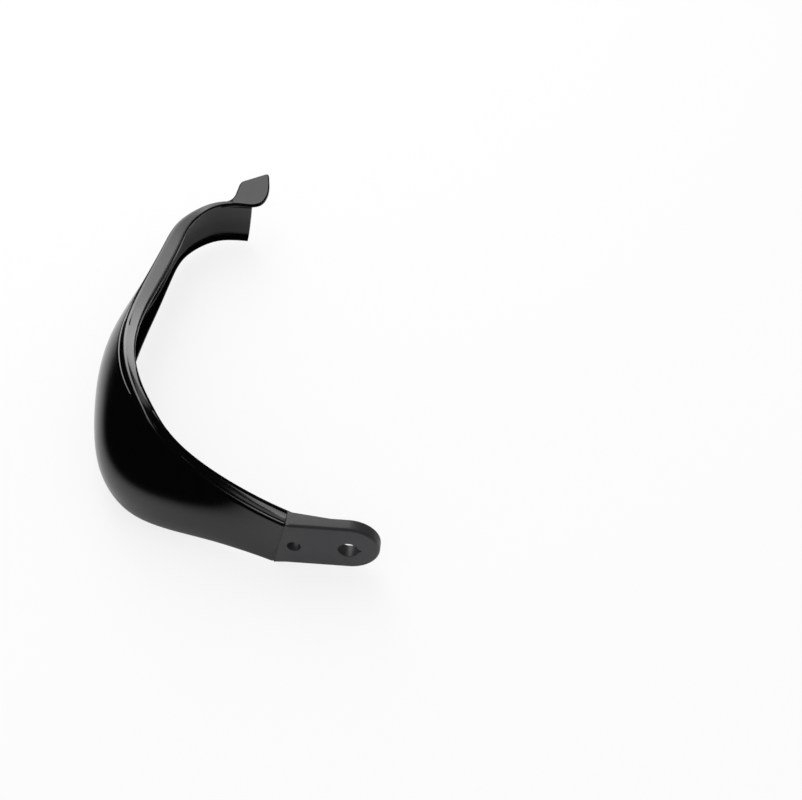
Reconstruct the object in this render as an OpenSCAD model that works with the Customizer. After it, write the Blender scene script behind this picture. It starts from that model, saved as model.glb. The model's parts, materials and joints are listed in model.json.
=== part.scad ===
// Wrap-round hand guard for the left end of a handlebar, moulded in one piece.
// The origin is the centre of the bar-end hole, on the seat face of the tab.
// +X points to the rear, +Y inboard along the handlebar, +Z up. Millimetres.

/* [Overall] */
// Reach of the guard inboard, from the seat of the tab to the back of the arm
reach = 229; // [190:1:260]
// How far the shell stands ahead of the bar-end hole
forward = 145; // [120:1:170]
// Wall thickness of the moulding
wall = 3; // [2:0.1:3.6]

/* [Tab] */
// Height of the tab
tab_h = 32; // [28:0.5:38]
// Thickness of the tab
tab_t = 7; // [6:0.1:9]
// Height of the tab's middle line above the bar-end hole
tab_rise = 1.2; // [0:0.1:2]
// From the bar-end hole forward to the crease, at the foot of the tab
crease_x = 38.5; // [36:0.5:44]
// How far the crease slants back towards its top
crease_slant = 7.5; // [4:0.5:8]
// Turn of the shell away from the tab at the crease, in degrees
crease_turn = 16; // [10:1:22]
// Edge rounding of the tab
tab_round = 1.6; // [0.6:0.1:2.4]

/* [Holes] */
// Diameter of the bar-end hole
bar_hole_d = 10.4; // [8:0.1:13]
// Diameter of the screw hole
screw_hole_d = 7; // [4:0.1:8]
// From the bar-end hole to the screw hole
hole_gap = 27.4; // [24:0.1:28]
// Depth of the small notch in the rim of the bar-end hole
notch_depth = 2; // [1:0.1:3]
// Width of the notch
notch_w = 2.6; // [1.5:0.1:3.5]

/* [Shell] */
// Rise of the shell's top edge above the tab, at the front corner
shell_rise = 24; // [10:1:32]
// Drop of the shell's bottom edge below the tab, at the front corner
shell_drop = 4; // [0:0.5:8]
// Lean of the shell's top edge towards the hand, at the front corner
shell_lean = 26; // [16:1:30]
// Swell of the crowned outer wall
shell_crown = 26; // [16:1:30]
// Width of the strip along the top edge
strip_w = 9.5; // [7:0.5:11]
// Fall of the strip towards the hand
strip_fall = 2; // [0.5:0.1:3]
// Width of the lip along the bottom edge
lip_w = 6; // [5:0.5:8]
// Radius of the bottom edge
foot_r = 5; // [3.8:0.1:6]
// Radius of the edge between the strip and the outer wall
edge_r = 1.5; // [0.8:0.1:2]
// Step from the tab's top down to the strip
strip_step = 1; // [0.4:0.1:2]

/* [Tip] */
// From the end of the arm's wall back to the rear edge of the ear
ear_over = 13; // [9:0.5:15]
// From the end of the arm's wall forward to the front edge of the ear
ear_ahead = 6.5; // [5:0.5:9]
// Width of the ear outwards, at its rear edge
ear_w = 20; // [16:0.5:23]
// Slope of the ear's surface, in degrees
ear_slope = 20; // [8:1:30]
// Thickness of the ear
ear_t = 2.1; // [1.8:0.1:2.4]
// Rake of the end of the arm's wall
end_rake = 5; // [0:0.5:7]

/* [Hidden] */

// Rings along the shell, and points of the edge, the foot, the wall and the strip in a ring
rings = 58;
edge_n = 4;
foot_n = 5;
wall_n = 7;
strip_n = 2;
// How far the shell runs on inside the tab, and the share of the tab's thickness and height
// that it fills there
hidden_run = 2;
hidden_fill = [0.85, 0.9];
// Sink of the shell's skin below the face of the tab
skin = 0.05;
// Least radius inside the channel, least run of the lip past the wall, and the share of the
// lip's inner side that the rounding of the foot may take
inner_r = 1;
lip_run = 0.6;
foot_share = 0.8;
// Root of the ear in the strip: its length, its width and how deep it is sunk
ear_root = 4;
ear_seat = 2;
ear_sunk = 0.5;
// Rounding of the ear's corners, and of the hollow where it leaves the strip
ear_round = 2;
ear_fillet = 3;

// Control stations of the shell, from the crease round to the tip. Each row holds:
// share of the way forward, share of the way inboard, facing in degrees (0 outboard, 90 ahead),
// rise of the top edge, drop of the bottom edge, lean, crown, strip width, strip fall and lip
// width. The last seven are shares of the sizes above.
stations = [
    [0.00,  0.000, 0,   0.00,  0.0,  0.00, 0.00, 0.52, 0.2, 0.50],
    [0.11,  0.000, 0,   0.05,  0.0,  0.15, 0.04, 0.75, 0.4, 0.60],
    [0.315, 0.045, 18,  0.25,  0.3,  0.30, 0.27, 0.80, 0.7, 0.80],
    [0.55,  0.070, 24,  0.65,  0.8,  0.55, 0.55, 0.70, 1.0, 1.00],
    [0.755, 0.105, 38,  0.95,  1.0,  0.86, 0.80, 0.70, 1.0, 1.00],
    [0.895, 0.185, 60,  1.05,  1.0,  0.88, 0.88, 0.70, 1.0, 1.00],
    [0.94,  0.300, 78,  1.00,  0.8,  0.60, 0.78, 0.70, 0.8, 1.00],
    [0.96,  0.435, 90,  0.65,  0.2,  0.34, 0.73, 0.75, 0.5, 0.90],
    [0.94,  0.575, 96,  0.20,  -0.2, 0.13, 0.62, 0.85, 0.5, 0.80],
    [0.895, 0.715, 98,  0.00,  -0.2, 0.10, 0.23, 1.00, 0.5, 0.80],
    [0.86,  0.835, 97,  -0.05, -0.2, 0.15, 0.08, 1.00, 0.5, 0.70],
    [0.83,  0.915, 112, -0.05, -0.2, 0.15, 0.08, 0.85, 0.5, 0.65],
    [0.69,  0.980, 150, -0.05, -0.2, 0.12, 0.08, 0.50, 0.4, 0.60],
    [0.57,  1.000, 172, 0.00,  -0.1, 0.12, 0.08, 0.28, 0.3, 0.50],
    [0.44,  1.000, 182, 0.00,  0.0,  0.12, 0.08, 0.28, 0.3, 0.50],
];
last = len(stations) - 1;
tab_top = tab_rise + tab_h / 2;
tab_foot = tab_rise - tab_h / 2;
crease_rake = crease_slant * cos(crease_turn);
crease_lean = crease_slant * sin(crease_turn);

// Real sizes of station i: x, y, facing, bottom, top, lean, crown, strip width, strip fall,
// lip width, foot radius and rake
function station(i) = let (
        s = stations[i],
        ahead = s[0] * (forward - crease_x),
        inboard = i < 2 ? ahead * tan(crease_turn) : s[1] * (reach + tab_t)
    ) [
        -crease_x - ahead,
        inboard - tab_t + skin,
        i < 2 ? crease_turn : s[2],
        tab_foot - s[4] * shell_drop,
        tab_top - strip_step + s[3] * shell_rise,
        i == 0 ? crease_lean : s[5] * shell_lean,
        s[6] * shell_crown,
        s[7] * strip_w,
        s[8] * strip_fall,
        s[9] * lip_w,
        s[9] * foot_r,
        i == last ? -end_rake : max(0, 1 - i / 2) * crease_rake
    ];
controls = [
    2 * station(0) - station(1),
    for (i = [0:last]) station(i),
    2 * station(last) - station(last - 1)
];

// Point u of the smooth curve that the control stations steer
function blend(u) = let (
        i = min(floor(u), last - 1),
        t = u - i
    ) (
        pow(1 - t, 3) * controls[i]
        + (3 * pow(t, 3) - 6 * t * t + 4) * controls[i + 1]
        + (1 + 3 * t + 3 * t * t - 3 * pow(t, 3)) * controls[i + 2]
        + pow(t, 3) * controls[i + 3]
    ) / 6;

function unit(v) = v / norm(v);
function left(v) = [-v[1], v[0]];
function bend(a, b, c, t) = (1 - t) * (1 - t) * a + 2 * t * (1 - t) * b + t * t * c;
function arc(a, b, c, r, n) = [
    for (k = [0:n - 1]) bend(b + r * unit(a - b), b, b + r * unit(c - b), k / (n - 1))
];
function shifted(a, b, c, w) = let (
        m = left(unit(b - a)),
        n = left(unit(c - b))
    ) b + w * (m + n) / (1 + m * n);

// The skin of one section, drawn through the corners a (end of the strip), b (edge), m (crown),
// c (foot) and d (end of the lip)
function skin_line(a, b, m, c, d, edge, foot) = concat(
    [for (k = [0:strip_n - 1]) a + k / strip_n * (b + edge * unit(a - b) - a)],
    arc(a, b, m, edge, edge_n),
    [for (k = [1:wall_n]) bend(b + edge * unit(m - b), m, c + foot * unit(m - c), k / (wall_n + 1))],
    arc(m, c, d, foot, foot_n),
    [d]
);
function flipped(v) = [for (k = [len(v) - 1:-1:0]) v[k]];

// Closed outline of one section: the outer skin, then the inner skin back again
function section(s) = let (
        a = [-s[5] - s[7], s[4] - s[8]],
        b = [-s[5], s[4]],
        c = [0, s[3]],
        d = [-max(s[9], s[10] + lip_run, wall + 2 * lip_run), s[3]],
        m = (b + c) / 2 + [s[6], 0],
        foot = s[10],
        inner_c = shifted(m, c, d, -wall),
        inner_d = d - wall * left(unit(d - c))
    ) concat(
        skin_line(a, b, m, c, d, edge_r, foot),
        flipped(skin_line(
            a - wall * left(unit(b - a)),
            shifted(a, b, m, -wall),
            shifted(b, m, c, -wall),
            inner_c,
            inner_d,
            inner_r,
            min(max(foot - wall, inner_r), foot_share * norm(inner_d - inner_c))
        ))
    );

// One ring of points in space: q outwards and z up become x, y and z
function ring(s) = let (
        out = [-sin(s[2]), -cos(s[2])],
        along = [-cos(s[2]), sin(s[2])]
    ) [
        for (p = section(s)) let (
            back = -s[11] * (p[1] - s[3]) / (s[4] - s[3]),
            at = [s[0], s[1]] + p[0] * out + back * along
        ) [at[0], at[1], p[1]]
    ];

// The shell's first ring, carried back into the tab and drawn in a little
function hidden_ring(r) = [
    for (p = r) [
        p[0] + hidden_run,
        -tab_t / 2 + hidden_fill[0] * (p[1] + tab_t / 2),
        hidden_fill[1] * p[2]
    ]
];

// Skin over a row of equal rings, closed at both ends
module loft(rows) {
    n = len(rows[0]);
    half = n / 2;
    m = len(rows);
    sides = [
        for (i = [0:m - 2], j = [0:n - 1]) let (
            a = i * n + j,
            b = i * n + (j + 1) % n
        ) each [[a, b, b + n], [a, b + n, a + n]]
    ];
    caps = [
        for (j = [0:half - 2]) let (
            a = j,
            b = j + 1,
            c = n - 2 - j,
            d = n - 1 - j,
            o = (m - 1) * n
        ) each [[a, c, b], [a, d, c], [o + a, o + b, o + c], [o + a, o + c, o + d]]
    ];
    polyhedron(points = [for (r = rows) each r], faces = concat(sides, caps));
}

// The crowned shell and the arm, an open channel that faces the hand
module channel() {
    rows = [for (i = [0:rings]) ring(blend(last * i / rings))];
    loft(concat([hidden_ring(rows[0])], rows));
}

// Section of the tab, with rounded edges, centred on its middle line
module tab_section() {
    for (y = [tab_round, tab_t - tab_round], z = [-1, 1])
        translate([z * (tab_h / 2 - tab_round), -y])
            circle(r = tab_round, $fn = 32);
    translate([-tab_h / 2 + tab_round, -tab_t])
        square([tab_h - 2 * tab_round, tab_t]);
    translate([-tab_h / 2, -tab_t + tab_round])
        square([tab_h, tab_t - 2 * tab_round]);
}

// Flat tab with a round end, cut off along the slanted crease
module tab() {
    translate([0, 0, tab_rise]) {
        rotate([-90, 0, 0])
            rotate([0, 0, -90])
                rotate_extrude(angle = 180, $fn = 96)
                    intersection() {
                        tab_section();
                        translate([0, -tab_t])
                            square([tab_h, tab_t]);
                    }
        intersection() {
            rotate([90, 0, -90])
                rotate([0, 0, 90])
                    linear_extrude(height = crease_x)
                        tab_section();
            rotate([90, 0, 0])
                linear_extrude(height = tab_t)
                    polygon([
                        [0, -tab_h / 2], [0, tab_h / 2],
                        [-crease_x + crease_slant, tab_h / 2], [-crease_x, -tab_h / 2]
                    ]);
        }
    }
}

// Ear at the tip: a plate that grows out of the strip's thickness and rises outwards
module ear() {
    tip = station(last);
    translate([tip[0], reach - tip[5] - ear_seat, tip[4] - ear_sunk - ear_seat * tan(ear_slope)])
        rotate([ear_slope, 0, 0])
            translate([0, 0, -ear_t])
                linear_extrude(height = ear_t)
                    offset(r = ear_round)
                        offset(r = -ear_round - ear_fillet)
                            offset(r = ear_fillet)
                                polygon([
                                    [-ear_ahead - ear_root, ear_seat / 2], [ear_over / 2, 0],
                                    [ear_over - ear_seat, 1], [ear_over, ear_w / 2],
                                    [ear_over - ear_seat, ear_w], [ear_seat - ear_ahead, ear_w / 2],
                                    [-ear_ahead, ear_seat], [-ear_ahead - ear_root, ear_seat]
                                ]);
}

// Through holes of the tab, with the notch on the free-end side of the bar-end hole
module holes() {
    rotate([90, 0, 0])
        cylinder(d = bar_hole_d, h = 3 * tab_t, center = true, $fn = 64);
    translate([-hole_gap, 0, 0])
        rotate([90, 0, 0])
            cylinder(d = screw_hole_d, h = 3 * tab_t, center = true, $fn = 48);
    rotate([90, 0, 0])
        linear_extrude(height = 3 * tab_t, center = true)
            polygon([
                [0, -bar_hole_d / 4], [bar_hole_d / 2, -notch_w / 2], [bar_hole_d / 2 + notch_depth, 0],
                [bar_hole_d / 2, notch_w / 2], [0, bar_hole_d / 4]
            ]);
}

module hand_guard() {
    color("#1b1c1f")
        union() {
            channel();
            difference() {
                tab();
                holes();
            }
            ear();
        }
}

hand_guard();
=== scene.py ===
"""Looks of a wrap-round motorcycle hand guard, moulded in one piece of black plastic.

The shell and the arm are lofted along stations like the solid's, at a finer pitch, with round lips, a
dished strip and a dark step beside it. The tab has round edges, deburred holes and a back that slopes
out to the shell, and the ear grows out of the strip.
Lengths are in millimetres in the classes, and in metres in the finished mesh.
"""

import json
import logging
import math
from dataclasses import dataclass
from enum import Enum
from typing import Iterable, Sequence

import bmesh
import bpy
import numpy as np
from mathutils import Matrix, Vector
from mathutils.geometry import delaunay_2d_cdt


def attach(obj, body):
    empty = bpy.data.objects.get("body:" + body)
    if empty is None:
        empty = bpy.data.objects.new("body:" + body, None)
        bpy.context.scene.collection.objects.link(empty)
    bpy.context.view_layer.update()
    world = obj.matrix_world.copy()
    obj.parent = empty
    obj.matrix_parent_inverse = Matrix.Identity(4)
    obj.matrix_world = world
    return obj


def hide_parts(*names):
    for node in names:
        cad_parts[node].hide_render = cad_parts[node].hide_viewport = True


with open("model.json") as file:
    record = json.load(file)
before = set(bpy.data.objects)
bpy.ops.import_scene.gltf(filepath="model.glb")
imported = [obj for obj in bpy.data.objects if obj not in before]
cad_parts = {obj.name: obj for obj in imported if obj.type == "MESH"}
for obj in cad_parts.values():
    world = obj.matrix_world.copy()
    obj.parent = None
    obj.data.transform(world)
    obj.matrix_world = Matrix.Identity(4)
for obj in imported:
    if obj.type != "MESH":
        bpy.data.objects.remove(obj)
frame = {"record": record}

LOG = logging.getLogger("hand_guard")
MM = 0.001
WELD = 1e-7  # Metres within which two points of a mesh are one.
CORNER_SHARE = 0.49  # The most of a side that the rounding of one corner takes.
Point = np.ndarray
Socket = bpy.types.NodeSocket
Verts = list[bmesh.types.BMVert]


class Slot(Enum):
    """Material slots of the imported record."""

    BLACK_PLASTIC = "black_plastic"


def unit(v: Point) -> Point:
    """The vector v at length one."""
    return v / np.linalg.norm(v)


def left(v: Point) -> Point:
    """The flat vector v turned a quarter turn to the left."""
    return np.array([-v[1], v[0]])


def eased(t: np.ndarray) -> np.ndarray:
    """Shares t from 0 to 1, made gentle at both ends."""
    return t * t * (3 - 2 * t)


def between(a: Point, b: Point, n: int) -> list[Point]:
    """n points on the straight line between a and b, without its ends."""
    return [a + (b - a) * k / (n + 1) for k in range(1, n + 1)]


def bend(a: Point, b: Point, c: Point, shares: Iterable[float]) -> list[Point]:
    """Points of the curve from a to c that b pulls.

    Args:
        a: Where the curve starts.
        b: The point that it bends towards.
        c: Where it ends.
        shares: Places along it, from 0 to 1.

    Returns:
        One point for each share.
    """
    return [(1 - t) ** 2 * a + 2 * t * (1 - t) * b + t * t * c for t in shares]


def round_corner(a: Point, b: Point, c: Point, r: float, n: int) -> list[Point]:
    """Points that round the corner b of the line a, b, c.

    Args:
        a: The point before the corner.
        b: The corner.
        c: The point after it.
        r: How far from the corner the rounding starts.
        n: Number of points.

    Returns:
        The points of the rounding.
    """
    near = min(r, CORNER_SHARE * float(np.linalg.norm(a - b)))
    far = min(r, CORNER_SHARE * float(np.linalg.norm(c - b)))
    return bend(b + near * unit(a - b), b, b + far * unit(c - b), np.linspace(0, 1, n))


def shifted(a: Point, b: Point, c: Point, w: float) -> Point:
    """The corner b of the line a, b, c, moved so that both its sides lie w to the left."""
    m, n = left(unit(b - a)), left(unit(c - b))
    return b + w * (m + n) / (1 + m @ n)


def circle(x: float, z: float, r: float, start: float, end: float, n: int) -> list[Point]:
    """Points of an arc, without its end.

    Args:
        x: Its middle.
        z: Its middle.
        r: Its radius.
        start: Where it starts, in degrees.
        end: Where it ends, in degrees.
        n: Number of points.

    Returns:
        The points.
    """
    angles = [math.radians(start + (end - start) * k / n) for k in range(n)]
    return [np.array([x + r * math.cos(t), z + r * math.sin(t)]) for t in angles]


def inside(point: np.ndarray, loop: Sequence[tuple[float, float]]) -> bool:
    """Whether a flat point lies inside a closed loop.

    Args:
        point: The point.
        loop: Corners of the loop.

    Returns:
        True where it lies inside.
    """
    within = False
    for (x1, y1), (x2, y2) in zip(loop, [*loop[1:], loop[0]]):
        if (y1 > point[1]) != (y2 > point[1]):
            within ^= bool(point[0] < x1 + (x2 - x1) * (point[1] - y1) / (y2 - y1))
    return within


def inset(loop: np.ndarray, depth: float | np.ndarray) -> np.ndarray:
    """A closed flat loop moved to its left, point by point along its own normals.

    Args:
        loop: The loop, anticlockwise for a move inwards.
        depth: How far all its points move, or each of them.

    Returns:
        The moved loop.
    """
    run = np.roll(loop, -1, axis=0) - np.roll(loop, 1, axis=0)
    run = run / np.linalg.norm(run, axis=1)[:, None]
    return loop + np.reshape(depth, (-1, 1)) * np.column_stack([-run[:, 1], run[:, 0]])


def join_rows(work: bmesh.types.BMesh, one: Verts, two: Verts) -> None:
    """Add the faces between two equal closed rows of points.

    Args:
        work: The mesh in the making.
        one: The first row.
        two: The second row.
    """
    for k in range(len(one)):
        n = (k + 1) % len(one)
        work.faces.new((one[k], one[n], two[n], two[k]))


def finished_mesh(work: bmesh.types.BMesh, name: str) -> bpy.types.Mesh:
    """The work as a new mesh, with its faces turned outwards. The work itself is freed.

    Args:
        work: The mesh in the making.
        name: Name of the new mesh.

    Returns:
        The new mesh.
    """
    bmesh.ops.recalc_face_normals(work, faces=work.faces)
    mesh = bpy.data.meshes.new(name)
    work.to_mesh(mesh)
    work.free()
    return mesh


def evaluated_mesh(holder: bpy.types.Object, name: str) -> bpy.types.Mesh:
    """The mesh that an object's modifiers make, as plain data of its own.

    Args:
        holder: The object.
        name: Name of the new mesh.

    Returns:
        The new mesh.
    """
    bpy.context.view_layer.update()
    depsgraph = bpy.context.evaluated_depsgraph_get()
    made = bpy.data.meshes.new_from_object(holder.evaluated_get(depsgraph))
    made.name = name
    return made


def close_tube(mesh: bpy.types.Mesh) -> None:
    """Cap the open ends of a tube, merge its doubles and turn its faces outwards.

    Args:
        mesh: The tube, which is changed in place.
    """
    work = bmesh.new()
    work.from_mesh(mesh)
    bmesh.ops.remove_doubles(work, verts=work.verts, dist=WELD)
    rim = [e for e in work.edges if e.is_boundary]
    bmesh.ops.holes_fill(work, edges=rim, sides=0)
    bmesh.ops.recalc_face_normals(work, faces=work.faces)
    work.to_mesh(mesh)
    work.free()


@dataclass(frozen=True)
class Sizes:
    """Driving sizes of the moulding, in millimetres and degrees.

    Up to end_rake they bear the names and values of the part's source. The others shape the skin:

        rim_r, inner_r: Rounding of the lips, and of the corners inside the channel.
        lip_run: How far the lip goes on past its rounding, at the least.
        ear_t: Thickness of the ear, sunk into the strip.
        chamfer_w, chamfer_ledge: Width of the dark step beside the strip, and of the ledge at its foot.
        lip_edge, hollow_r, lip_kick: Edge of the arm's thinned lip, its hollow, and its extra width.
        knee_x, back_slope: Where the tab's back starts to slope out, and how steeply.
        crease_round, crease_fade: Rounding of the tab's rim at the crease, and how soon it grows.
        corner_round: Rounding of the crease's two corners.
    """

    reach: float = 229.0
    forward: float = 145.0
    wall: float = 3.0
    tab_h: float = 32.0
    tab_t: float = 7.0
    tab_rise: float = 1.2
    tab_round: float = 1.6
    crease_x: float = 38.5
    crease_slant: float = 7.5
    crease_turn: float = 16.0
    notch_depth: float = 2.0
    notch_w: float = 2.6
    shell_rise: float = 24.0
    shell_drop: float = 4.0
    shell_lean: float = 26.0
    shell_crown: float = 26.0
    strip_w: float = 9.5
    strip_fall: float = 2.0
    lip_w: float = 6.0
    foot_r: float = 5.0
    edge_r: float = 1.5
    strip_step: float = 1.0
    end_rake: float = 5.0
    rim_r: float = 0.9
    inner_r: float = 1.0
    lip_run: float = 0.6
    ear_t: float = 2.4
    chamfer_w: float = 3.2
    chamfer_ledge: float = 0.6
    lip_edge: float = 1.0
    hollow_r: float = 7.0
    lip_kick: float = 1.2
    knee_x: float = 9.0
    back_slope: float = 0.115
    crease_round: float = 0.2
    crease_fade: float = 1.2
    corner_round: float = 0.5


@dataclass(frozen=True)
class Share:
    """One control station, in shares of the driving sizes.

    ahead and inboard place it, and facing turns it (0 outboard, 90 ahead). chamfer is how much of
    the dark step between the strip and the wall it has, and taper how much its lip thins. dish is
    how far its strip sags, in millimetres.
    """

    ahead: float
    inboard: float
    facing: float
    rise: float
    drop: float
    lean: float
    crown: float
    strip: float
    fall: float
    lip: float
    chamfer: float = 0.0
    taper: float = 0.0
    dish: float = 0.0


STATIONS: tuple[Share, ...] = (
    Share(0.00, 0.000, 0, 0.03, 0.0, 0.00, 0.00, 0.99, 0.0, 0.20, dish=0.9),
    Share(0.11, 0.000, 0, 0.05, 0.0, 0.15, 0.04, 1.00, 0.3, 0.50, dish=0.9),
    Share(0.315, 0.045, 18, 0.25, 0.3, 0.30, 0.27, 0.86, 0.7, 0.80, dish=1.2),
    Share(0.55, 0.070, 24, 0.65, 0.8, 0.55, 0.55, 0.72, 1.0, 1.00, dish=0.3),
    Share(0.755, 0.105, 38, 0.95, 1.0, 0.86, 0.80, 0.70, 1.0, 1.00, dish=0.5),
    Share(0.895, 0.185, 60, 1.05, 1.0, 0.88, 0.88, 0.70, 1.0, 1.00, chamfer=0.5, dish=0.9),
    Share(0.94, 0.300, 78, 1.00, 0.8, 0.60, 0.78, 0.70, 0.8, 1.00, chamfer=1.0, dish=0.4),
    Share(0.96, 0.435, 90, 0.65, 0.2, 0.34, 0.73, 0.75, 0.5, 0.90, chamfer=1.0, dish=0.1),
    Share(0.94, 0.575, 96, 0.20, -0.2, 0.13, 0.62, 0.85, 0.5, 0.80, chamfer=0.6, taper=0.3),
    Share(0.895, 0.715, 98, 0.00, -0.2, 0.10, 0.23, 1.00, 0.5, 0.80, taper=0.8),
    Share(0.86, 0.835, 97, -0.05, -0.2, 0.15, 0.08, 1.00, 0.5, 0.70, taper=1.0),
    Share(0.83, 0.915, 112, -0.05, -0.2, 0.15, 0.08, 0.85, 0.5, 0.65, taper=1.0),
    Share(0.69, 0.980, 150, -0.05, -0.2, 0.12, 0.08, 0.50, 0.4, 0.60, taper=1.0),
    Share(0.57, 1.000, 172, 0.00, -0.1, 0.12, 0.08, 0.28, 0.3, 0.50, taper=1.0),
    Share(0.44, 1.000, 182, 0.00, 0.0, 0.12, 0.08, 0.28, 0.3, 0.50, taper=1.0),
)


@dataclass(frozen=True)
class Station:
    """Real sizes of one section of the shell, in millimetres and degrees."""

    x: float
    y: float
    facing: float
    bottom: float
    top: float
    lean: float
    crown: float
    strip: float
    fall: float
    lip: float
    foot: float
    rake: float
    chamfer: float
    taper: float
    dish: float


def real_station(i: int, s: Sizes) -> Station:
    """Station i of the shell at its real size.

    Args:
        i: Number of the control station.
        s: Driving sizes.

    Returns:
        The station's sizes.
    """
    share = STATIONS[i]
    last = len(STATIONS) - 1
    turn = math.radians(s.crease_turn)
    ahead = share.ahead * (s.forward - s.crease_x)
    inboard = ahead * math.tan(turn) if i < 2 else share.inboard * (s.reach + s.tab_t)
    rake = max(0.0, 1 - i / 2) * s.crease_slant * math.cos(turn)
    lean = s.crease_slant * math.sin(turn) if i == 0 else share.lean * s.shell_lean
    return Station(
        x=-s.crease_x - ahead,
        y=inboard - s.tab_t,
        facing=s.crease_turn if i < 2 else share.facing,
        bottom=s.tab_rise - s.tab_h / 2 - share.drop * s.shell_drop,
        top=s.tab_rise + s.tab_h / 2 - s.strip_step + share.rise * s.shell_rise,
        lean=lean,
        crown=share.crown * s.shell_crown,
        strip=share.strip * s.strip_w,
        fall=share.fall * s.strip_fall,
        lip=share.lip * s.lip_w,
        foot=share.lip * s.foot_r,
        rake=-s.end_rake if i == last else rake,
        chamfer=share.chamfer,
        taper=share.taper,
        dish=share.dish,
    )


class Spline:
    """Smooth curve that the stations' sizes steer, and that reaches the first and the last."""

    def __init__(self, s: Sizes) -> None:
        """Work out the control rows.

        Args:
            s: Driving sizes.
        """
        rows = [list(real_station(i, s).__dict__.values()) for i in range(len(STATIONS))]
        body = np.array(rows, float)
        first = 2 * body[0] - body[1]
        end = 2 * body[-1] - body[-2]
        self.controls = np.vstack([first, body, end])
        self.last = len(STATIONS) - 1

    def at(self, u: float) -> Station:
        """The station at place u, by the cubic weights of the four stations round it.

        Args:
            u: The place, from 0 at the crease to the last station's number at the tip.

        Returns:
            The sizes there.
        """
        i = min(int(u), self.last - 1)
        t = u - i
        weights = np.array([
            (1 - t) ** 3,
            3 * t**3 - 6 * t * t + 4,
            1 + 3 * t + 3 * t * t - 3 * t**3,
            t**3,
        ]) / 6
        return Station(*(weights @ self.controls[i : i + 4]))


@dataclass(frozen=True)
class Pitch:
    """Numbers of points along each stretch of a section."""

    rim: int = 5
    edge: int = 7
    wall: int = 34
    foot: int = 9
    flat: int = 7


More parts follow.
